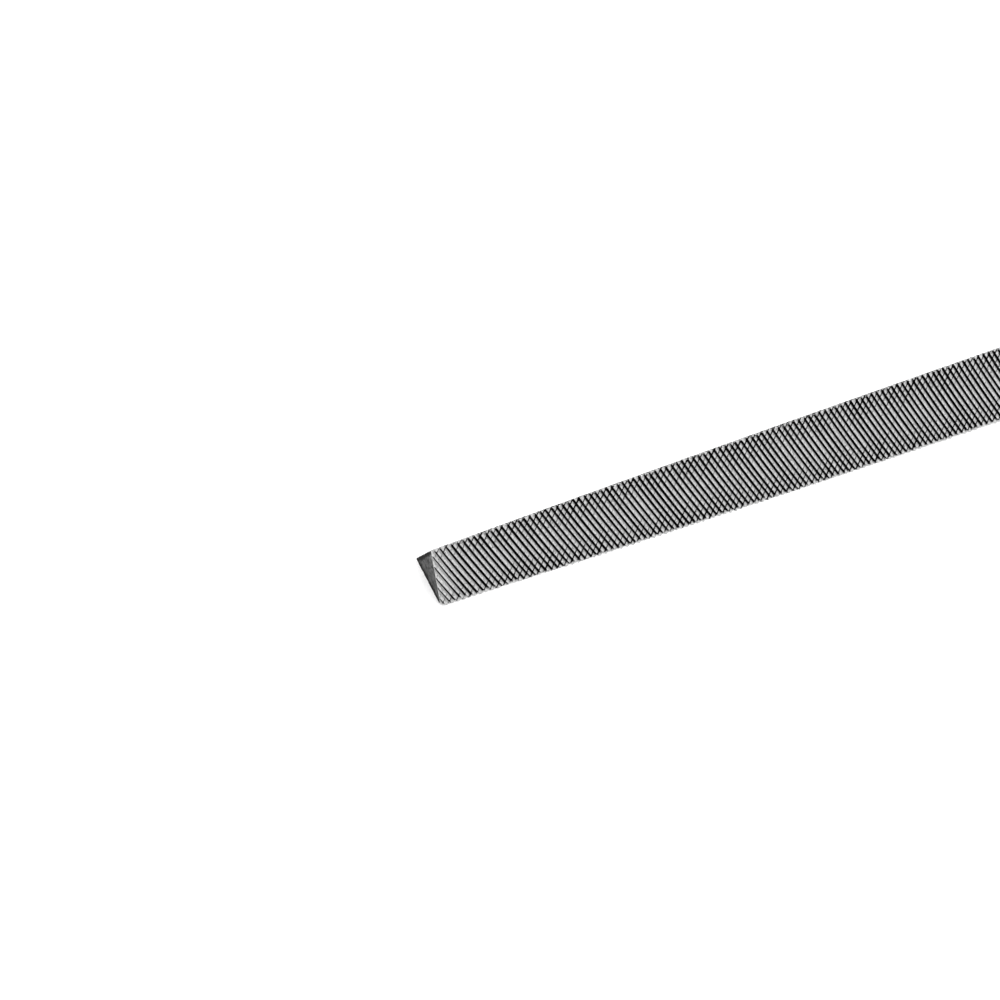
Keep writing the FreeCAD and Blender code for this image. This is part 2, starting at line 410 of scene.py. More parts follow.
# %% trim the sheet and close it into a slab
SHEET_HALF_WIDTH = 6.8 * MM              # a little more than a face
SHEET_SPARE = 1.5 * MM                   # past the heel and the point
SLAB_DEPTH = 10.5 * MM
SEAM = 1e-7

spot_x, spot_y, _ = split(position)
past_ends = calc("MAXIMUM", spot_x > POINT_X + SHEET_SPARE, spot_x < HEEL_X - SHEET_SPARE)
outside = calc("MAXIMUM", calc("ABSOLUTE", spot_y) > SHEET_HALF_WIDTH, past_ends)
sheet = node(teeth, "GeometryNodeDeleteGeometry", {"Geometry": laid.outputs[0], "Selection": outside},
             domain="FACE")
down = node(teeth, "ShaderNodeCombineXYZ", {2: -1.0})
pushed = node(teeth, "GeometryNodeExtrudeMesh", {"Mesh": sheet.outputs[0], "Offset": down.outputs[0],
                                                 "Offset Scale": SLAB_DEPTH, "Individual": False})
lid = node(teeth, "GeometryNodeFlipFaces", {"Mesh": sheet.outputs[0]})
both = teeth.nodes.new("GeometryNodeJoinGeometry")
put(both.inputs[0], lid.outputs[0])
put(both.inputs[0], pushed.outputs[0])
slab = node(teeth, "GeometryNodeMergeByDistance", {"Geometry": both.outputs[0], "Distance": SEAM})
print("slab is", round(SLAB_DEPTH / MM, 1), "mm deep")

# %% [markdown]
# Three copies of the slab, turned about the axis, share only the triangular bar between them, so a
# Boolean intersection gives the whole toothed body, with nicks along its three edges where the grooves of
# two faces run out, as on the real thing. The same node trims the bar with a turned solid that slopes the
# shoulder and squares the point, and a second Boolean adds the tang. The Manifold solver does this in
# about a second on slabs this fine, and always gives a closed mesh.

# %% intersect three slabs, trim, and add the tang
FACE_TURNS = (60, 180, 300)              # degrees; one face ends up underneath
bar = node(teeth, "GeometryNodeMeshBoolean", operation="INTERSECT", solver="MANIFOLD")
for face_turn in FACE_TURNS:
    copy = node(teeth, "GeometryNodeTransform",
                {"Geometry": slab.outputs[0], "Rotation": (math.radians(face_turn), 0, 0)})
    put(bar.inputs["Mesh 2"], copy.outputs[0])
trim_shape = node(teeth, "GeometryNodeObjectInfo", {"Object": given["Trim"]})
put(bar.inputs["Mesh 2"], trim_shape.outputs["Geometry"])
tang_shape = node(teeth, "GeometryNodeObjectInfo", {"Object": given["Tang"]})
whole = node(teeth, "GeometryNodeMeshBoolean", operation="UNION", solver="MANIFOLD")
put(whole.inputs["Mesh 2"], bar.outputs[0])
put(whole.inputs["Mesh 2"], tang_shape.outputs["Geometry"])
real = node(teeth, "GeometryNodeRealizeInstances", {"Geometry": whole.outputs[0]})
painted = node(teeth, "GeometryNodeSetMaterial",
               {"Geometry": real.outputs[0], "Material": given["Material"]})
put(teeth.nodes.new("NodeGroupOutput").inputs[0], painted.outputs[0])
print("tooth tree has", len(teeth.nodes), "nodes")


# %% [markdown]
# ## Meshes from profiles and sections
# The trim body, the ferrule and the handle are all turned shapes, so one small function spins a profile
# about the axis. A profile is a list of (x, radius) points. A point on the axis becomes a single pole
# vertex, so the surface is closed there.

# %% turning and lofting
def new_piece(name, mesh):
    """An object in the scene, unturned and at the origin, with that mesh."""
    piece = bpy.data.objects.new(name, mesh)
    bpy.context.scene.collection.objects.link(piece)
    return piece


def to_mesh(name, shape):
    mesh = bpy.data.meshes.new(name)
    shape.to_mesh(mesh)
    shape.free()
    return mesh


def turned_mesh(name, profile, segments, closed_ring=False):
    """Spins (x, radius) points about the X axis. A closed ring joins its last point to its first."""
    shape = bmesh.new()
    rings = []
    for x, radius in profile:
        if radius < 1e-9:
            rings.append([shape.verts.new((x, 0, 0))])
            continue
        angles = (2 * math.pi * step / segments for step in range(segments))
        rings.append([shape.verts.new((x, radius * math.cos(a), radius * math.sin(a))) for a in angles])
    pairs = list(zip(rings, rings[1:]))
    if closed_ring:
        pairs.append((rings[-1], rings[0]))
    for first, second in pairs:
        for step in range(segments):
            after = (step + 1) % segments
            corners = [first[step % len(first)], first[after % len(first)],
                       second[after % len(second)], second[step % len(second)]]
            shape.faces.new(list(dict.fromkeys(corners)))
    bmesh.ops.recalc_face_normals(shape, faces=shape.faces)
    return to_mesh(name, shape)


def arc_points(centre, radius, start, end, steps):
    """(x, radius) points on an arc; start and end are in degrees, 0 along +X and 90 outwards."""
    angles = [math.radians(start + (end - start) * step / steps) for step in range(steps + 1)]
    return [(centre[0] + radius * math.cos(a), centre[1] + radius * math.sin(a)) for a in angles]


print("quarter of a unit arc:", [[round(c, 2) for c in point] for point in arc_points((0, 0), 1, 0, 90, 2)])


# %% [markdown]
# The trim body is what the bar keeps: a cone over the shoulder, then a cylinder wide enough to miss the
# edges, and a flat end that cuts the point square. A short cone just before that end takes the point's
# three sharp corners off, as wear does. The cone's last rings are moved a little to the right, so that
# the lower left corner is the most worn, and the end is skewed by a degree or so, as a cropped end is.

# %% trim body
CORNER_WEAR = 0.35 * MM
WEAR_SHIFT = 0.28 * MM
END_SKEW = 0.025                         # how much the end leans back to the right
trim = new_piece("trim_body", turned_mesh("trim_body", [
    (HEEL_X, 0.0),
    (HEEL_X, SHOULDER_RADIUS),
    (SHOULDER_END_X, EDGE_RADIUS + 1 * MM),
    (POINT_X - 1.2 * MM, EDGE_RADIUS + 1 * MM),
    (POINT_X - CORNER_WEAR, POINT_FACE_RADIUS * 2),
    (POINT_X, POINT_FACE_RADIUS * 2 - CORNER_WEAR),
    (POINT_X, 0.0),
], 96))
for vertex in trim.data.vertices:
    from_point = POINT_X - vertex.co.x
    if from_point < CORNER_WEAR * 1.5:
        vertex.co.y -= WEAR_SHIFT
    if from_point < CORNER_WEAR / 2:
        vertex.co.x -= END_SKEW * (POINT_FACE_RADIUS * math.sqrt(3) - vertex.co.y)
print("trim body:", len(trim.data.vertices), "points")

# %% [markdown]
# The tang is a spike hammered out of the end of the bar, so its flats waver and its corners are round.
# It is lofted from eight-sided sections. Each section is the bar's own outline drawn in, so its upper
# corners keep the slope of the faces. A slow sine wave on each side stands for the hammer's marks.

# %% tang
TANG_END_X = blade_low.x
TANG_ROOT = (3.1 * MM, 2.3 * MM)         # half width and half thickness at the heel
TANG_END = (1.2 * MM, 1.0 * MM)
TANG_CORNER = 0.35 * MM
TANG_SECTIONS = 60
HAMMER_WAVE = 0.05 * MM


def tang_section(x):
    """Corner points of the tang at x, starting at the lower right and going round."""
    share = (HEEL_X - x) / (HEEL_X - TANG_END_X)
    wide = TANG_ROOT[0] + (TANG_END[0] - TANG_ROOT[0]) * share
    thick = TANG_ROOT[1] + (TANG_END[1] - TANG_ROOT[1]) * share
    wide -= HAMMER_WAVE * (1 + math.sin(x / MM * 1.7)) / 2
    thick -= HAMMER_WAVE * (1 + math.sin(x / MM * 2.3 + 1.0)) / 2
    top = min(wide - TANG_CORNER, (EDGE_RADIUS - thick) / math.sqrt(3))
    side = min(thick - TANG_CORNER, EDGE_RADIUS - wide * math.sqrt(3))
    return [(x, wide, -thick + TANG_CORNER), (x, wide, side), (x, top, thick), (x, -top, thick),
            (x, -wide, side), (x, -wide, -thick + TANG_CORNER),
            (x, -wide + TANG_CORNER, -thick), (x, wide - TANG_CORNER, -thick)]


def lofted_mesh(name, sections):
    """Joins equal rings of points into one closed skin."""
    shape = bmesh.new()
    rings = [[shape.verts.new(corner) for corner in section] for section in sections]
    for first, second in zip(rings, rings[1:]):
        for step in range(len(first)):
            after = (step + 1) % len(first)
            shape.faces.new((first[step], first[after], second[after], second[step]))
    shape.faces.new(rings[0])
    shape.faces.new(rings[-1])
    bmesh.ops.recalc_face_normals(shape, faces=shape.faces)
    return to_mesh(name, shape)


tang_root_x = HEEL_X + 3 * MM
tang_step = (tang_root_x - TANG_END_X) / TANG_SECTIONS
tang = new_piece("tang_spike", lofted_mesh("tang_spike", [
    tang_section(TANG_END_X + step * tang_step) for step in range(TANG_SECTIONS + 1)
]))
print("tang is", round((HEEL_X - TANG_END_X) / MM, 1), "mm long")

# %% [markdown]
# ## Shared surface effects
# Three effects turn up on more than one piece, so each is a shader node group with its own inputs: fine
# scratches along or round the piece, cloudy mottling, and small dark specks of dirt or rust. They read
# Object coordinates, so they stay fixed to the piece. Each gives back only a mask or a height; the
# Principled shader stays in the material.

# %% shader groups
def shader_group(name, **inputs):
    """A group with these float inputs; gives back its tree, its inputs and the socket of its mask."""
    tree = bpy.data.node_groups.new(name, "ShaderNodeTree")
    for input_name, default in inputs.items():
        add_input(tree, input_name, "Float", default)
    add_output(tree, "Mask", "Float")
    return tree, group_inputs(tree), tree.nodes.new("NodeGroupOutput").inputs["Mask"]


def object_place(tree, scale=(1, 1, 1), location=(0, 0, 0)):
    """Object coordinates, stretched by scale; a small number stretches the pattern out."""
    coordinates = tree.nodes.new("ShaderNodeTexCoord").outputs["Object"]
    mapping = node(tree, "ShaderNodeMapping", {"Vector": coordinates, "Scale": scale, "Location": location})
    return Value(mapping.outputs[0])


def noise(place, scale, detail, roughness):
    cloud = node(place.tree, "ShaderNodeTexNoise",
                 {"Vector": place, "Scale": scale, "Detail": detail, "Roughness": roughness})
    return Value(cloud.outputs["Fac"])


def spots(place, scale, amount, outer, inner):
    """Soft round spots in that share of the cells of a Voronoi pattern."""
    cells = node(place.tree, "ShaderNodeTexVoronoi", {"Vector": place, "Scale": scale})
    chance = node(place.tree, "ShaderNodeSeparateColor", {0: cells.outputs["Color"]}).outputs[0]
    return (Value(chance) < amount) * ramp(Value(cells.outputs["Distance"]), outer, inner)


def make_scratch_group():
    tree, inside, mask = shader_group("fine_scratches", Scale=900.0, Stretch=0.03)
    stretch = node(tree, "ShaderNodeCombineXYZ", {0: inside["Stretch"], 1: 1.0, 2: 1.0}).outputs[0]
    put(mask, ramp(noise(object_place(tree, stretch), inside["Scale"], 3.0, 0.7), 0.35, 0.70))
    return tree


def make_mottle_group():
    tree, inside, mask = shader_group("cloudy_mottling", Scale=400.0, Contrast=0.2)
    cloud = noise(object_place(tree), inside["Scale"], 6.0, 0.65)
    put(mask, ramp(cloud, 0.5 - inside["Contrast"], inside["Contrast"] + 0.5))
    return tree


def make_speck_group():
    tree, inside, mask = shader_group("small_specks", Scale=1500.0, Amount=0.25)
    put(mask, spots(object_place(tree), inside["Scale"], inside["Amount"], 0.45, 0.10))
    return tree


SCRATCHES = make_scratch_group()
MOTTLING = make_mottle_group()
SPECKS = make_speck_group()
print("shader groups:", [tree.name for tree in (SCRATCHES, MOTTLING, SPECKS)])


# %% [markdown]
# Every finish starts the same way: a material with a Principled shader wired to its output. Colours that
# vary go through a Mix node; a value that is the same all over is set on the shader's own socket, where a
# program that reads the exported model can find it.

# %% material helpers
def new_material(name, **fixed):
    """A material with a Principled shader whose fixed values are set by socket name."""
    material = bpy.data.materials.new(name)
    material.use_nodes = True
    tree = material.node_tree
    tree.nodes.clear()
    shader = tree.nodes.new("ShaderNodeBsdfPrincipled")
    feed(shader, **fixed)
    put(tree.nodes.new("ShaderNodeOutputMaterial").inputs["Surface"], shader.outputs[0])
    return material, tree, shader


def feed(shader, **values):
    """Sets or links the shader's sockets, by name."""
    for name, value in values.items():
        put(shader.inputs[name.replace("_", " ")], value)


def effect(tree, group, **values):
    """Places a shader group, sets its inputs and gives back its mask."""
    return Value(node(tree, "ShaderNodeGroup", values, node_tree=group).outputs["Mask"])


def mix_colour(factor, first, second):
    mix = node(factor.tree, "ShaderNodeMix", {0: factor}, data_type="RGBA")
    for socket, colour in ((mix.inputs[6], first), (mix.inputs[7], second)):
        put(socket, colour if isinstance(colour, Value) else (*colour, 1.0))
    return Value(mix.outputs[2])


def attribute(tree, name):
    return Value(node(tree, "ShaderNodeAttribute", attribute_name=name).outputs["Fac"])


def bump(shader, height, distance, strength):
    bumps = node(height.tree, "ShaderNodeBump",
                 {"Height": height, "Distance": distance, "Strength": strength})
    put(shader.inputs["Normal"], bumps.outputs[0])


print("material helpers are ready")

# %% [markdown]
# ## Finish of the cut teeth
# The lands between the grooves are bare blasted steel, a light grey that mirrors the room in a blurred
# way; lower down a land's back slope the grey is painted darker, as painted shade. The fronts of the teeth
# and the roots of the gullets hold black quench scale and oil, and that black is also painted shade for
# the shadow in the grooves. The stored "front", "depth" and "scored" attributes say where. Along the three
# edges the teeth get rubbed bright first, so a fourth attribute, "edge", which is stored on the finished
# blade, takes some black away there.

# %% cut steel
LAND_LIGHT = (0.76, 0.76, 0.76)
# The land's grey lower down its back slope, which is painted shade, and in its darker clouds.
LAND_SHADE_AND_CLOUD = (0.44, 0.44, 0.44)
# Black of quench scale and oil, also used as painted shade in the grooves and on the teeth's fronts.
SCALE_AND_SHADE_BLACK = (0.002, 0.002, 0.002)
EDGE_BRIGHT = (0.46, 0.46, 0.46)
GULLET_BLACK = (0.38, 0.52)              # share of full depth where the black begins and is full
SCORE_BLACK = (0.15, 0.34)               # the same for an over-cut


def make_cut_steel():
    material, tree, shader = new_material("cut_steel", Specular_IOR_Level=0.0)
    front, sunk, scored, rubbed = (attribute(tree, name) for name in ("front", "depth", "scored", "edge"))
    # The black on the fronts and in the grooves is scale and oil, and painted shade too.
    black = calc("MAXIMUM", front * ramp(sunk, 0.0, 0.10), ramp(sunk, *GULLET_BLACK))
    black = calc("MAXIMUM", black, ramp(scored, *SCORE_BLACK)) * mix_value(rubbed, 1.0, 0.75)
    cloud = effect(tree, MOTTLING, Scale=900.0, Contrast=0.22)
    grain = effect(tree, MOTTLING, Scale=5200.0, Contrast=0.16)
    speck = effect(tree, SPECKS, Scale=3600.0, Amount=0.22)
    # The land is painted darker lower down its back slope as painted shade; its clouds are random tone.
    land = mix_colour(calc("MAXIMUM", ramp(sunk, 0.08, 0.22), cloud * 0.35), LAND_LIGHT, LAND_SHADE_AND_CLOUD)
    land = mix_colour(grain * 0.40, land, SCALE_AND_SHADE_BLACK)
    land = mix_colour(speck * 0.75, land, SCALE_AND_SHADE_BLACK)
    land = mix_colour(rubbed * 0.6, land, EDGE_BRIGHT)
    feed(shader, Base_Color=mix_colour(black, land, SCALE_AND_SHADE_BLACK), Metallic=mix_value(black, 1.0, 0.0),
         Roughness=mix_value(black, mix_value(cloud, 0.36, 0.50), 0.85))
    bump(shader, effect(tree, MOTTLING, Scale=5000.0, Contrast=0.3), 0.006 * MM, 0.5)
    return material


cut_steel = make_cut_steel()
print("finish of the teeth:", cut_steel.name)

# %% [markdown]
# ## Finish of the ends
# The point is cropped and left as it came from the furnace: dark, matt and cloudy. Two of its three rims,
# the upper one and the lower one by the paper, are painted blacker as painted shade, and it is painted a
# little lighter towards its top corner.
# The heel beside the teeth is ground, so it shows fine scratches along the blade. The shoulder and tang
# are left black from forging, with a straw and brown heat tint in between. One material makes both: a
# smooth mask along the axis fades from one to the other.

# %% point and forging
LEFT_FACE = 150                          # degrees about X that a face looks towards
LOWER_FACE = 270
SHADED_RIM_WIDTH = (0.50 * MM, 0.95 * MM)       # a rim is full black within the first and gone past the second
LIGHTER_TOP_HEIGHT = (1.2 * MM, 4.2 * MM)


def face_distance(tree, angle):
    """How far inside the point's section a spot is, from the side that faces that angle about X."""
    outward = (0.0, math.cos(math.radians(angle)), math.sin(math.radians(angle)))
    reach = node(tree, "ShaderNodeVectorMath", {0: object_place(tree), 1: outward},
                 operation="DOT_PRODUCT")
    return POINT_FACE_RADIUS - Value(reach.outputs["Value"])


def make_point_scale():
    material, tree, shader = new_material("point_scale", Specular_IOR_Level=0.05)
    cloud = effect(tree, MOTTLING, Scale=1000.0, Contrast=0.09)
    fine = effect(tree, MOTTLING, Scale=2800.0, Contrast=0.09)
    # The upper and lower rims are painted black here: painted shade.
    nearest = calc("MINIMUM", face_distance(tree, LEFT_FACE), face_distance(tree, LOWER_FACE) * 0.65)
    rim = ramp(nearest + fine * (0.25 * MM), SHADED_RIM_WIDTH[1], SHADED_RIM_WIDTH[0])
    height = split(object_place(tree))[2]
    # Painted lighter towards the top of the end, by height.
    worn = ramp(height, *LIGHTER_TOP_HEIGHT) * 0.6
    grey = mix_colour(cloud, (0.012, 0.012, 0.012), (0.080, 0.080, 0.080))
    grey = mix_colour(fine * 0.50, grey, (0.15, 0.15, 0.15))
    grey = mix_colour(worn * fine, grey, (0.34, 0.34, 0.34))
    feed(shader, Base_Color=mix_colour(rim, grey, (0.004, 0.004, 0.004)),
         Metallic=mix_value(cloud, 0.0, 0.1), Roughness=mix_value(fine, 0.65, 0.80))
    bump(shader, fine, 0.02 * MM, 0.6)
    return material


def make_forged_steel():
    material, tree, shader = new_material("forged_steel", Specular_IOR_Level=0.5)
    cloud = effect(tree, MOTTLING, Scale=260.0, Contrast=0.22)
    from_heel = split(object_place(tree))[0] + (cloud - 0.5) * (2.5 * MM) - HEEL_X
    ground = ramp(from_heel, 4.0 * MM, 6.5 * MM)
    tint = ramp(from_heel, 2.0 * MM, 5.0 * MM) * ramp(from_heel, 9.5 * MM, 5.5 * MM)
    scratch = effect(tree, SCRATCHES, Scale=5200.0, Stretch=0.02)
    scale_cloud = effect(tree, MOTTLING, Scale=1500.0, Contrast=0.2)
    speck = effect(tree, SPECKS, Scale=900.0, Amount=0.10)
    bright = mix_colour(scratch, (0.52, 0.52, 0.52), (0.66, 0.66, 0.66))
    black = mix_colour(scale_cloud, (0.030, 0.029, 0.028), (0.095, 0.088, 0.080))
    colour = mix_colour(ground, black, bright)
    colour = mix_colour(tint * 0.55, colour, (0.24, 0.15, 0.07))
    colour = mix_colour(speck * 0.7, colour, (0.10, 0.045, 0.02))
    feed(shader, Base_Color=colour, Metallic=mix_value(ground, 0.55, 1.0),
         Roughness=mix_value(ground, 0.62, mix_value(scratch, 0.24, 0.36)))
    bump(shader, mix_value(ground, scale_cloud, scratch), 0.03 * MM, 0.5)
    return material


point_scale = make_point_scale()
forged_steel = make_forged_steel()
print("steel finishes:", cut_steel.name, point_scale.name, forged_steel.name)


# %% [markdown]
# ## Building the blade
# The tree is put on an empty object as a modifier, its inputs are set by their socket identifiers, and the
# evaluated result is kept as a plain mesh, because instances and live trees don't survive an export.

# %% run the tooth tree
def run_tree(name, tree, **values):
    """A new plain mesh object from a Geometry Nodes tree with these inputs."""
    holder = new_piece(name, bpy.data.meshes.new(name))
    modifier = holder.modifiers.new(tree.name, "NODES")
    modifier.node_group = tree
    identifiers = {s.name: s.identifier for s in tree.interface.items_tree if s.in_out == "INPUT"}
    for input_name, value in values.items():
        modifier[identifiers[input_name]] = value
    graph = bpy.context.evaluated_depsgraph_get()
    mesh = bpy.data.meshes.new_from_object(holder.evaluated_get(graph), depsgraph=graph)
    holder.modifiers.remove(modifier)
    holder.data = mesh
    mesh.name = name
    return holder


blade = run_tree("toothed_blade", teeth, Trim=trim, Tang=tang, Material=cut_steel)
for tool in (trim, tang):
    bpy.data.objects.remove(tool)
print("blade:", len(blade.data.vertices), "points,", len(blade.data.polygons), "faces")

# %% [markdown]
# The Boolean leaves the plain heel divided into the same small cells as the teeth. A limited dissolve
# merges what is flat there, which saves triangles for the teeth. Then faces get their finish by where they
# are: everything before the teeth is forged or ground steel, the square end is the point, and the rest
# keeps the cut steel of the tree. Last, "edge" is stored: 1 on the three edges, falling to 0 within a
# fraction of a millimetre.

# %% clean the heel, give out finishes, mark the edges
EDGE_BAND = 0.30 * MM
END_FACING = 0.995                       # how squarely a face of the end looks along the axis


def section_edge(x):
    """From the axis to an edge of the section at x, without teeth."""
    into = np.maximum(0.0, x - (POINT_X - TAPER_LENGTH))
    return 2 * (FACE_RADIUS - TAPER_ARC + np.sqrt(TAPER_ARC ** 2 - into ** 2))


def clean_heel(mesh):
    shape = bmesh.new()
    shape.from_mesh(mesh)
    plain_end = TEETH_START_X - EDGE_RADIUS
    plain = [v for v in shape.verts if v.co.x < plain_end]
    edges = [e for e in shape.edges if all(v.co.x < plain_end for v in e.verts)]
    bmesh.ops.dissolve_limit(shape, angle_limit=math.radians(1), verts=plain, edges=edges)
    bmesh.ops.triangulate(shape, faces=[f for f in shape.faces if len(f.verts) > 4])
    shape.to_mesh(mesh)
    shape.free()


def mark_faces(mesh):
    mesh.materials.clear()
    for material in (cut_steel, forged_steel, point_scale):
        mesh.materials.append(material)
    depths = mesh.attributes["depth"].data
    for face in mesh.polygons:
        past_start = face.center.x - TEETH_START_X
        if face.normal.x > END_FACING and face.center.x > POINT_X - 0.5 * MM:
            face.material_index = 2
        elif past_start < -1 * MM:
            face.material_index = 1
        elif past_start < 4 * MM and all(depths[v].value == 0 for v in face.vertices):
            face.material_index = 1


def mark_edges(mesh):
    places = np.zeros(len(mesh.vertices) * 3, np.float32)
    mesh.vertices.foreach_get("co", places)
    places = places.reshape(-1, 3).astype(float)
    reach = np.full(len(places), -1.0)
    for angle in (90, 210, 330):
        turn_angle = math.radians(angle)
        outward = places[:, 1] * math.cos(turn_angle) + places[:, 2] * math.sin(turn_angle)
        reach = np.maximum(reach, outward)
    near = 1 - (section_edge(places[:, 0]) - reach) / EDGE_BAND
    stored = mesh.attributes.new("edge", "FLOAT", "POINT")
    stored.data.foreach_set("value", np.clip(near, 0, 1).astype(np.float32))


clean_heel(blade.data)
mark_faces(blade.data)
mark_edges(blade.data)
triangles = sum(len(face.vertices) - 2 for face in blade.data.polygons)
print("blade now has", triangles, "triangles, the limit is 200000")

# %% [markdown]
# ## The ferrule
# A ferrule is a cap drawn from thin sheet: a tube whose front end is rolled in over the wood, with a hole
# for the tang. It is pressed over the handle's nose and locked by a few blows of a round-nosed punch. The
# wall has a true thickness, so its profile is a closed ring. The dents are made by pushing in every point
# that lies inside the punch's ball, and the inside wall by a ball that is one wall larger, so that the
# sheet keeps its thickness.

# %% ferrule
FERRULE_RADIUS = ferrule_high.z
FERRULE_LENGTH = ferrule_high.x
FERRULE_WALL = 0.8 * MM
FERRULE_LIP = 1.4 * MM
FERRULE_HOLE = 4.1 * MM
MOUTH_ROUND = 0.25 * MM
DENT_COUNT = 3
DENT_RADIUS = 2.6 * MM
DENT_DEPTH = 0.55 * MM
DENT_X = 4.5 * MM
FERRULE_SEGMENTS = 168
FERRULE_RINGS = 52


def ferrule_profile():
    """Round the wall: out along the outside, round the lip, in at the hole and back along the inside."""
    lip_x, lip_r = FERRULE_LENGTH - FERRULE_LIP, FERRULE_RADIUS - FERRULE_LIP
    inner_r, inner_x = FERRULE_RADIUS - FERRULE_WALL, FERRULE_LENGTH - FERRULE_WALL
    outside = [(MOUTH_ROUND + (lip_x - MOUTH_ROUND) * step / FERRULE_RINGS, FERRULE_RADIUS)
               for step in range(FERRULE_RINGS + 1)]
    rolled = arc_points((lip_x, lip_r), FERRULE_LIP, 90, 0, 10)[1:]
    hole_r = FERRULE_HOLE + MOUTH_ROUND
    front = [(FERRULE_LENGTH, lip_r - (lip_r - hole_r) * step / 6) for step in range(1, 7)]
    hole = arc_points((FERRULE_LENGTH - MOUTH_ROUND, hole_r), MOUTH_ROUND, 0, -90, 4)[1:]
    back = [(inner_x, FERRULE_HOLE)]
    inside = [(inner_x * (1 - step / FERRULE_RINGS), inner_r) for step in range(FERRULE_RINGS + 1)]
    mouth = arc_points((MOUTH_ROUND, FERRULE_RADIUS - MOUTH_ROUND), MOUTH_ROUND, 180, 90, 4)[:-1]
    return outside + rolled + front + hole + back + inside + mouth


def press_dents(mesh):
    """Moves points inside a punch's ball to its lower surface, straight towards the axis."""
    middle = FERRULE_RADIUS - FERRULE_WALL / 2
    for vertex in mesh.vertices:
        radius = math.hypot(vertex.co.y, vertex.co.z)
        ball = DENT_RADIUS if radius > middle else DENT_RADIUS + FERRULE_WALL
        centre_r = FERRULE_RADIUS - DENT_DEPTH + DENT_RADIUS
        for dent in range(DENT_COUNT):
            angle = 2 * math.pi * dent / DENT_COUNT + math.pi / 2
            outward = Vector((0, math.cos(angle), math.sin(angle)))
            height = vertex.co.dot(outward)
            aside = (vertex.co - outward * height - Vector((DENT_X, 0, 0))).length
            if height > 0 and aside < ball:
                floor_height = centre_r - math.sqrt(ball ** 2 - aside ** 2)
                if height > floor_height:
                    vertex.co += outward * (floor_height - height)


ferrule = new_piece("steel_ferrule",
                    turned_mesh("steel_ferrule", ferrule_profile(), FERRULE_SEGMENTS, closed_ring=True))
press_dents(ferrule.data)
ferrule.data.shade_smooth()
print("ferrule:", len(ferrule.data.polygons), "faces, wall", FERRULE_WALL / MM, "mm")

# %% [markdown]
# ## The handle
# The handle is turned between centres: a nose for the ferrule, a short neck with two scribed rings, a
# long S-curve to the belly, and a domed butt. The S is two equal arcs that are level at both ends, and the
# dome is an arc that meets the belly's own arc without a corner. The stepped hole for the tang is in the
# profile too, so the mesh is one closed skin from the bottom of the hole, out and round to the butt.

# %% handle profile
NOSE_RADIUS = FERRULE_RADIUS - FERRULE_WALL
NOSE_X = handle_high.x
NECK_RADIUS = FERRULE_RADIUS + 0.8 * MM
NECK_LENGTH = 11 * MM
NECK_ROUND = 0.8 * MM
BELLY_RADIUS = handle_high.z
BUTT_X = handle_low.x
BELLY_X = BUTT_X + 34 * MM
BUTT_ARC = 130 * MM
BORE_STEPS = ((-26 * MM, 1.9 * MM), (-8.5 * MM, 1.9 * MM), (-8.5 * MM, 2.6 * MM), (4 * MM, 2.6 * MM),
              (4 * MM, 3.3 * MM), (NOSE_X, 3.3 * MM))
RING_DEPTH = 0.45 * MM
RING_HALF_WIDTH = 0.9 * MM
RINGS_X = (-8.4 * MM, -6.0 * MM)


def swell_points(steps):
    """The S from the neck to the belly, as two equal arcs."""
    length, rise = NECK_LENGTH + BELLY_X, BELLY_RADIUS - NECK_RADIUS
    radius = (length ** 2 + rise ** 2) / (4 * rise)
    points = []
    for step in range(steps + 1):
        share = step / steps
        x = -NECK_LENGTH + length * share
        from_end = abs(length) * min(share, 1 - share)
        lift = radius - math.sqrt(radius ** 2 - from_end ** 2)
        points.append((x, NECK_RADIUS + lift if share < 0.5 else BELLY_RADIUS - lift))
    return points


def butt_points(steps):
    """From the belly along its wide arc, then round the dome to the axis."""
    run = BELLY_X - BUTT_X
    dome = (BUTT_ARC ** 2 - (BUTT_ARC - BELLY_RADIUS) ** 2 - run ** 2) / (2 * (BUTT_ARC - run))
    slope = math.degrees(math.atan2(run - dome, BUTT_ARC - BELLY_RADIUS))
    wide = arc_points((BELLY_X, BELLY_RADIUS - BUTT_ARC), BUTT_ARC, 90, 90 + slope, steps)
    round_end = arc_points((BUTT_X + dome, 0.0), dome, 90 + slope, 180, steps)
    return wide[1:] + round_end[1:-1] + [(BUTT_X, 0.0)]


def ring_points(x):
    """A scribed groove with a rounded root and slightly rolled shoulders."""
    asides = [1 - step / 6 for step in range(13)]
    return [(x + RING_HALF_WIDTH * aside,
             NECK_RADIUS - RING_DEPTH * math.cos(math.pi / 2 * abs(aside)) ** 1.5) for aside in asides]


def handle_profile():
    nose = [(NOSE_X, NOSE_RADIUS - 0.3 * MM), (NOSE_X - 0.3 * MM, NOSE_RADIUS), (0.0, NOSE_RADIUS)]
    shoulder = arc_points((-NECK_ROUND, NECK_RADIUS - NECK_ROUND), NECK_ROUND, 0, 90, 8)
    rings = [point for x in reversed(RINGS_X) for point in ring_points(x)]
    return [(BORE_STEPS[0][0], 0.0), *BORE_STEPS, *nose, *shoulder, *rings,
            *swell_points(90), *butt_points(36)]


handle = new_piece("beech_handle", turned_mesh("beech_handle", handle_profile(), 144))
handle.data.shade_smooth()
handle.data.set_sharp_from_angle(angle=math.radians(35))
print("handle:", len(handle.data.polygons), "faces, belly", round(BELLY_RADIUS * 2 / MM, 1), "mm")

# %% [markdown]
# ## Finish of the ferrule
# The ferrule is nickel-plated steel. Turning and polishing leave hairlines that run round it, so the
# scratches are squeezed along the axis and stretched round it, which a noise on (x, radius) does by
# itself. Thumbs dull it in clouds, and it is painted darker in the dents and at the mouth by the wood.

# %% plated steel
def from_axis(y, z):
    return calc("SQRT", y * y + z * z)


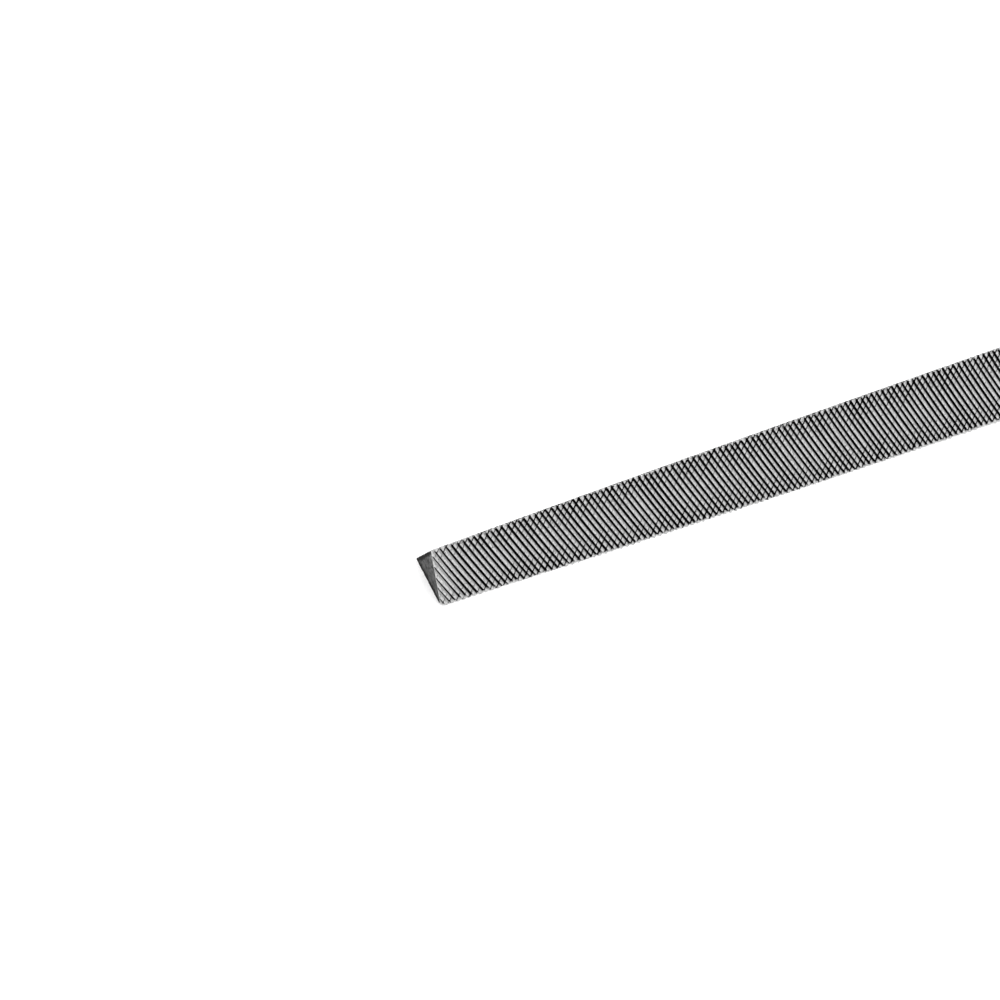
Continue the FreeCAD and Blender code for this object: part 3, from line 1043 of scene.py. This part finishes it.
def make_nickel_plate():
    material, tree, shader = new_material("nickel_plate", Metallic=1.0)
    x, y, z = split(object_place(tree))
    away = from_axis(y, z)
    round_place = node(tree, "ShaderNodeCombineXYZ", {0: x, 1: away}).outputs[0]
    hairline = ramp(noise(Value(round_place), 6000.0, 4.0, 0.7), 0.35, 0.65)
    smudge = effect(tree, MOTTLING, Scale=160.0, Contrast=0.2)
    speck = effect(tree, SPECKS, Scale=1100.0, Amount=0.05)
    sunk = ramp(away, FERRULE_RADIUS - 0.12 * MM, FERRULE_RADIUS - 0.5 * MM)
    in_dent = sunk * ramp(x, 8.0 * MM, 6.5 * MM)
    # Darker at the mouth by the wood and in the dents.
    dirt = calc("MAXIMUM", ramp(x, 0.5 * MM, 0.0), in_dent * 0.6)
    colour = mix_colour(smudge, (0.57, 0.56, 0.53), (0.43, 0.42, 0.40))
    colour = mix_colour(calc("MAXIMUM", dirt, speck * 0.8), colour, (0.09, 0.07, 0.05))
    feed(shader, Base_Color=colour, Roughness=mix_value(smudge, 0.17, 0.34) + dirt * 0.25)
    bump(shader, hairline, 0.004 * MM, 0.6)
    return material


nickel_plate = make_nickel_plate()
ferrule.data.materials.append(nickel_plate)
print("finish of the ferrule:", nickel_plate.name)

# %% [markdown]
# ## Finish of the beech
# Beech is a plain, pinkish-tan wood. What makes it beech is the flecks: its rays show as short dark dashes
# along the grain. The growth rings are a gentle wave around an axis that lies beside the handle, so they
# run as long lines on the sides and as curves on the butt, as in wood cut from one side of a log. Thin
# lacquer is a coat over it. The scribed rings are burnt dark, and hands leave the belly a little darker.

# %% beech
LOG_AXIS = (0.0, 42 * MM, 26 * MM)       # where the middle of the log would be
RING_WIDTH = 2.4 * MM                    # one year's growth
BURNT_DEPTH = (0.04 * MM, 0.22 * MM)     # below the neck's surface


def make_beech():
    material, tree, shader = new_material("lacquered_beech", Coat_Weight=0.35, Coat_Roughness=0.18,
                                          Specular_IOR_Level=0.4)
    log = object_place(tree, (0.06, 1, 1), LOG_AXIS)
    _, log_y, log_z = split(log)
    from_middle = from_axis(log_y, log_z) + noise(log, 70.0, 3.0, 0.5) * (2.2 * MM)
    year = calc("FRACT", from_middle / RING_WIDTH)
    late = ramp(year, 0.35, 0.93) * ramp(year, 1.0, 0.95)
    fibre = ramp(noise(object_place(tree, (0.035, 1, 1)), 2600.0, 4.0, 0.65), 0.35, 0.68)
    fleck = spots(object_place(tree, (0.20, 1, 1)), 1900.0, 0.34, 0.46, 0.20)

    tone = effect(tree, MOTTLING, Scale=28.0, Contrast=0.22)
    wood = mix_colour(tone, (0.56, 0.33, 0.155), (0.47, 0.26, 0.115))
    wood = mix_colour(late * 0.42, wood, (0.36, 0.185, 0.08))
    wood = mix_colour(fibre * 0.28, wood, (0.68, 0.46, 0.26))
    wood = mix_colour(fleck * 0.50, wood, (0.25, 0.115, 0.045))

    x, y, z = split(object_place(tree))
    on_neck = ramp(x, -NECK_LENGTH - 0.2 * MM, -NECK_LENGTH + 0.2 * MM)
    sunk = ramp(from_axis(y, z), NECK_RADIUS - BURNT_DEPTH[0], NECK_RADIUS - BURNT_DEPTH[1])
    burnt = on_neck * sunk * (1.0 - ramp(x, -0.3 * MM, 0.2 * MM))
    grime = effect(tree, MOTTLING, Scale=90.0, Contrast=0.15)
    held = ramp(x, BUTT_X + 8 * MM, BELLY_X + 6 * MM) * ramp(x, -14 * MM, -34 * MM)
    wood = mix_colour(held * grime * 0.30, wood, (0.20, 0.10, 0.045))
    feed(shader, Base_Color=mix_colour(burnt * 0.9, wood, (0.035, 0.017, 0.009)),
         Roughness=mix_value(fibre, 0.42, 0.52))
    bump(shader, fibre * 0.4 - fleck * 0.6, 0.03 * MM, 0.35)
    return material


beech = make_beech()
handle.data.materials.append(beech)
print("finishes:", [m.name for m in (nickel_plate, beech)])

# %% [markdown]
# ## The pieces join the frame
# Each new piece stands for one node of the CAD model, which is then hidden, and rides on the part's one
# body: nothing on a file moves.

# %% ride and replace
for piece, cad_node, slot_name in (
    (blade, "file_blade", "hardened_steel"),
    (ferrule, "ferrule", "plated_steel"),
    (handle, "handle", "beech"),
):
    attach(piece, "root")
    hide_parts(cad_node)
    print(piece.name, "stands for", cad_node)


# %% [markdown]
# ## The paper
# The handle is fatter than the blade, so on a flat bench the file would lie tilted. Here it lies level on
# one sheet of white paper with a low step in it: flat under the handle's belly, rising under the ferrule,
# then a slight slope that touches the blade's curved underside. One soft sheet leaves no line behind. The
# sheet glows a little, as on a light table, which keeps the shadow under the file thin.

# %% paper with a step
PAPER_LOW = -BELLY_RADIUS
STEP_START_X = 4 * MM
STEP_END_X = 36 * MM
TOUCH_X = POINT_X - 37 * MM              # where the sloping part touches the blade's underside
touch_run = TOUCH_X - (POINT_X - TAPER_LENGTH)
touch_height = -(FACE_RADIUS - TAPER_ARC + math.sqrt(TAPER_ARC ** 2 - touch_run ** 2))
paper_slope = touch_run / math.sqrt(TAPER_ARC ** 2 - touch_run ** 2)


def paper_height(x):
    share = min(1.0, max(0.0, (x - STEP_START_X) / (STEP_END_X - STEP_START_X)))
    slope_height = touch_height + (x - TOUCH_X) * paper_slope
    return PAPER_LOW + (slope_height - PAPER_LOW) * share * share * (3 - 2 * share)


def paper_sheet(width, steps):
    """A sheet as wide as given, with narrow strips over the step and one long strip on each side."""
    shape = bmesh.new()
    places = [STEP_START_X + (STEP_END_X - STEP_START_X) * step / steps for step in range(steps + 1)]
    for x in [-width, *places, width]:
        for side in (-width, width):
            shape.verts.new((x, side, paper_height(x)))
    shape.verts.ensure_lookup_table()
    for pair in range(len(places) + 1):
        corner = pair * 2
        shape.faces.new([shape.verts[corner + step] for step in (0, 2, 3, 1)])
    return new_piece("white_paper", to_mesh("white_paper", shape))


paper = paper_sheet(width=3.0, steps=48)
paper.data.shade_smooth()
paper_white, _, _ = new_material("paper_white", Base_Color=(0.92, 0.92, 0.92, 1.0), Roughness=0.9,
                                 Specular_IOR_Level=0.1, Emission_Color=(1.0, 1.0, 1.0, 1.0),
                                 Emission_Strength=0.15)
paper.data.materials.append(paper_white)
print("paper rises", round((touch_height - PAPER_LOW) / MM, 1), "mm")

# %% [markdown]
# ## Light
# A light tent: a white surround that is a little darker near the horizon, so that round metal gets a
# darker streak, a broad soft light overhead and a weaker one from the handle's side. The tone curve is
# the plain Standard one, so that white stays white.

# %% lights and world
def soft_light(name, place, target, size, watts):
    lamp = bpy.data.lights.new(name, "AREA")
    lamp.shape = "RECTANGLE"
    lamp.size, lamp.size_y = size
    lamp.energy = watts
    light = bpy.data.objects.new(name, lamp)
    bpy.context.scene.collection.objects.link(light)
    look = Vector(target) - Vector(place)
    light.matrix_world = Matrix.Translation(place) @ look.to_track_quat("-Z", "Y").to_matrix().to_4x4()


middle_x = (BUTT_X + POINT_X) / 2
soft_light("overhead", (middle_x, -0.10, 0.75), (middle_x, 0, 0), (1.0, 0.8), 3.5)
soft_light("handle_side", (middle_x - 0.55, 0.25, 0.35), (middle_x, 0, 0), (0.4, 0.4), 1.0)

HORIZON_LIGHT = 0.70
ZENITH_LIGHT = 1.15
tent = bpy.data.worlds.new("light_tent")
tent.use_nodes = True
background = tent.node_tree.nodes["Background"]
direction = Value(tent.node_tree.nodes.new("ShaderNodeTexCoord").outputs["Generated"])
put(background.inputs["Strength"], ramp(split(direction)[2], 0.0, 0.6, HORIZON_LIGHT, ZENITH_LIGHT))
put(background.inputs["Color"], (1.0, 1.0, 1.0, 1.0))
bpy.context.scene.world = tent
bpy.context.scene.view_settings.view_transform = "Standard"
print("world:", tent.name)
